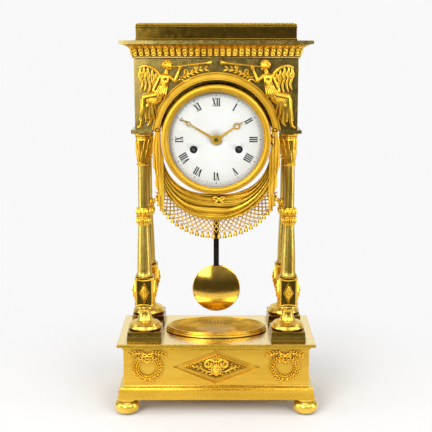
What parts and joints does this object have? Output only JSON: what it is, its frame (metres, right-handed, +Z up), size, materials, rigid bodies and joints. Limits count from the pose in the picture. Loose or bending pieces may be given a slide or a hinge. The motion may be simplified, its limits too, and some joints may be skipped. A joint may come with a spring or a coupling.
{
  "type": "mantel clock",
  "caption": "Gilt bronze portico mantel clock with columns, a drum movement, white enamel dial, cast drapery with net fringe, and a swinging pendulum over an oval dish",
  "frame": {"origin": "on the floor under the middle of the base", "axes": "+Z up, front with the dial towards -Y, +X to the right as seen from the front"},
  "size_m": [0.24, 0.122, 0.4504],
  "materials": {
    "gilt_matte": "matt mercury gilding on cast and chased bronze",
    "gilt_burnished": "burnished gilding on bronze",
    "movement_brass": "brushed and lacquered brass",
    "bell_metal": "turned bell bronze",
    "steel": "polished steel",
    "dark_steel": "browned steel",
    "enamel": "white vitreous enamel with black figures",
    "clear_glass": "clear domed glass"
  },
  "bodies": {
    "case": {"arch_soffit": "gilt_burnished", "architrave_slabs": "gilt_burnished", "archivolt": "gilt_matte", "attic": "gilt_burnished", "back_plate": "movement_brass", "base_panels": "gilt_burnished", "base_plaque": "gilt_matte", "base_plinth": "gilt_burnished", "base_top_plate": "gilt_burnished", "base_wreaths": "gilt_matte", "bell": "bell_metal", "bell_stand": "movement_brass", "bun_feet": "gilt_matte", "capitals": "gilt_matte", "column_bases": "gilt_matte", "column_pedestals": "gilt_burnished", "column_shafts": "gilt_matte", "cornice": "gilt_matte", "dial": "enamel", "drapery_swag": "gilt_matte", "drapery_tails": "gilt_matte", "drum": "movement_brass", "frieze_panels": "gilt_burnished", "fringe_net": "gilt_matte", "front_plate": "movement_brass", "hinge_pins": "steel", "mainsprings": "steel", "oval_dish": "gilt_matte", "pedestal_lozenges": "gilt_matte", "shaft_collars": "gilt_matte", "side_ornaments": "gilt_matte", "spandrel_figures": "gilt_matte", "suspension_cock": "movement_brass", "tie_rods": "steel"},
    "bezel_door": {"bezel": "gilt_burnished", "bezel_glass": "clear_glass"},
    "rear_door_body": {"rear_door": "movement_brass"},
    "pendulum": {"suspension_spring": "steel", "pendulum_rod": "dark_steel", "pendulum_bob": "gilt_burnished", "rating_nut": "movement_brass"},
    "anchor": {"pallet_anchor": "steel"},
    "minute_train": {"cannon_pinion": "movement_brass", "minute_hand": "gilt_burnished"},
    "centre_train": {"centre_wheel": "movement_brass"},
    "hour_train": {"hour_wheel": "movement_brass", "hour_hand": "gilt_burnished"},
    "minute_work": {"minute_wheel": "movement_brass"},
    "second_train": {"second_wheel": "movement_brass"},
    "third_train": {"third_wheel": "movement_brass"},
    "escape_train": {"escape_wheel": "movement_brass"},
    "going_barrel_body": {"going_barrel": "movement_brass"},
    "going_arbor": {"going_winding_arbor": "steel"},
    "strike_barrel_body": {"strike_barrel": "movement_brass"},
    "strike_arbor": {"strike_winding_arbor": "steel"},
    "strike_second": {"strike_second_wheel": "movement_brass"},
    "pin_train": {"pin_wheel": "movement_brass"},
    "locking_train": {"locking_wheel": "movement_brass"},
    "fly": {"strike_fly": "movement_brass"},
    "hammer_body": {"hammer": "steel"}
  },
  "joints": [
    {"name": "bezel_hinge", "type": "hinge", "parent": "case", "child": "bezel_door", "pos_m": [0.0632, -0.048, 0.3225], "axis": [0, 0, 1], "range_deg": [0, 100]},
    {"name": "rear_door_hinge", "type": "hinge", "parent": "case", "child": "rear_door_body", "pos_m": [-0.0636, 0.0447, 0.3225], "axis": [0, 0, 1], "range_deg": [0, 105]},
    {"name": "pendulum_swing", "type": "hinge", "parent": "case", "child": "pendulum", "pos_m": [0, 0.008, 0.364], "axis": [0, 1, 0], "range_deg": [-3, 3]},
    {"name": "anchor_rock", "type": "hinge", "parent": "case", "child": "anchor", "pos_m": [0, 0, 0.364], "axis": [0, 1, 0], "range_deg": [-3.2, 3.2]},
    {"name": "minute_turn", "type": "hinge", "parent": "case", "child": "minute_train", "pos_m": [0, 0, 0.3225], "axis": [0, 1, 0], "continuous": true},
    {"name": "hour_turn", "type": "hinge", "parent": "case", "child": "hour_train", "pos_m": [0, 0, 0.3225], "axis": [0, 1, 0], "continuous": true},
    {"name": "minute_wheel_turn", "type": "hinge", "parent": "case", "child": "minute_work", "pos_m": [0, 0, 0.3105], "axis": [0, 1, 0], "continuous": true},
    {"name": "escape_wheel_turn", "type": "hinge", "parent": "case", "child": "escape_train", "pos_m": [0, 0, 0.34603], "axis": [0, 1, 0], "continuous": true},
    {"name": "third_wheel_turn", "type": "hinge", "parent": "case", "child": "third_train", "pos_m": [-0.01084, 0, 0.33637], "axis": [0, 1, 0], "continuous": true},
    {"name": "centre_wheel_turn", "type": "hinge", "parent": "case", "child": "centre_train", "pos_m": [0, 0, 0.3225], "axis": [0, 1, 0], "continuous": true},
    {"name": "second_wheel_turn", "type": "hinge", "parent": "case", "child": "second_train", "pos_m": [0.01586, 0, 0.32991], "axis": [0, 1, 0], "continuous": true},
    {"name": "going_barrel_turn", "type": "hinge", "parent": "case", "child": "going_barrel_body", "pos_m": [0.0254, 0, 0.3112], "axis": [0, 1, 0], "continuous": true},
    {"name": "going_winding", "type": "hinge", "parent": "case", "child": "going_arbor", "pos_m": [0.0254, 0, 0.3112], "axis": [0, 1, 0], "continuous": true},
    {"name": "locking_wheel_turn", "type": "hinge", "parent": "case", "child": "locking_train", "pos_m": [0.00164, 0, 0.28665], "axis": [0, 1, 0], "continuous": true},
    {"name": "fly_turn", "type": "hinge", "parent": "case", "child": "fly", "pos_m": [-0.00844, 0, 0.28665], "axis": [0, 1, 0], "continuous": true},
    {"name": "pin_wheel_turn", "type": "hinge", "parent": "case", "child": "pin_train", "pos_m": [0.00904, 0, 0.29548], "axis": [0, 1, 0], "continuous": true},
    {"name": "strike_second_turn", "type": "hinge", "parent": "case", "child": "strike_second", "pos_m": [-0.00512, 0, 0.30576], "axis": [0, 1, 0], "continuous": true},
    {"name": "strike_barrel_turn", "type": "hinge", "parent": "case", "child": "strike_barrel_body", "pos_m": [-0.0254, 0, 0.3112], "axis": [0, 1, 0], "continuous": true},
    {"name": "strike_winding", "type": "hinge", "parent": "case", "child": "strike_arbor", "pos_m": [-0.0254, 0, 0.3112], "axis": [0, 1, 0], "continuous": true},
    {"name": "hammer_lift", "type": "hinge", "parent": "case", "child": "hammer_body", "pos_m": [0.021, 0, 0.2895], "axis": [0, 1, 0], "range_deg": [0, 12], "stiffness_Nm_per_rad": 0.01, "springref_deg": -5.73}
  ],
  "couplings": [
    {"joint": "anchor_rock", "follows": "pendulum_swing", "ratio": 1},
    {"joint": "hour_turn", "follows": "minute_turn", "ratio": 0.083333},
    {"joint": "minute_wheel_turn", "follows": "minute_turn", "ratio": -0.33333},
    {"joint": "third_wheel_turn", "follows": "escape_wheel_turn", "ratio": -0.1},
    {"joint": "centre_wheel_turn", "follows": "escape_wheel_turn", "ratio": 0.01},
    {"joint": "second_wheel_turn", "follows": "escape_wheel_turn", "ratio": -0.0016667},
    {"joint": "going_barrel_turn", "follows": "escape_wheel_turn", "ratio": 0.00027778},
    {"joint": "fly_turn", "follows": "locking_wheel_turn", "ratio": -6},
    {"joint": "pin_wheel_turn", "follows": "locking_wheel_turn", "ratio": -0.14286},
    {"joint": "strike_second_turn", "follows": "locking_wheel_turn", "ratio": 0.02381},
    {"joint": "strike_barrel_turn", "follows": "locking_wheel_turn", "ratio": -0.0039683}
  ]
}
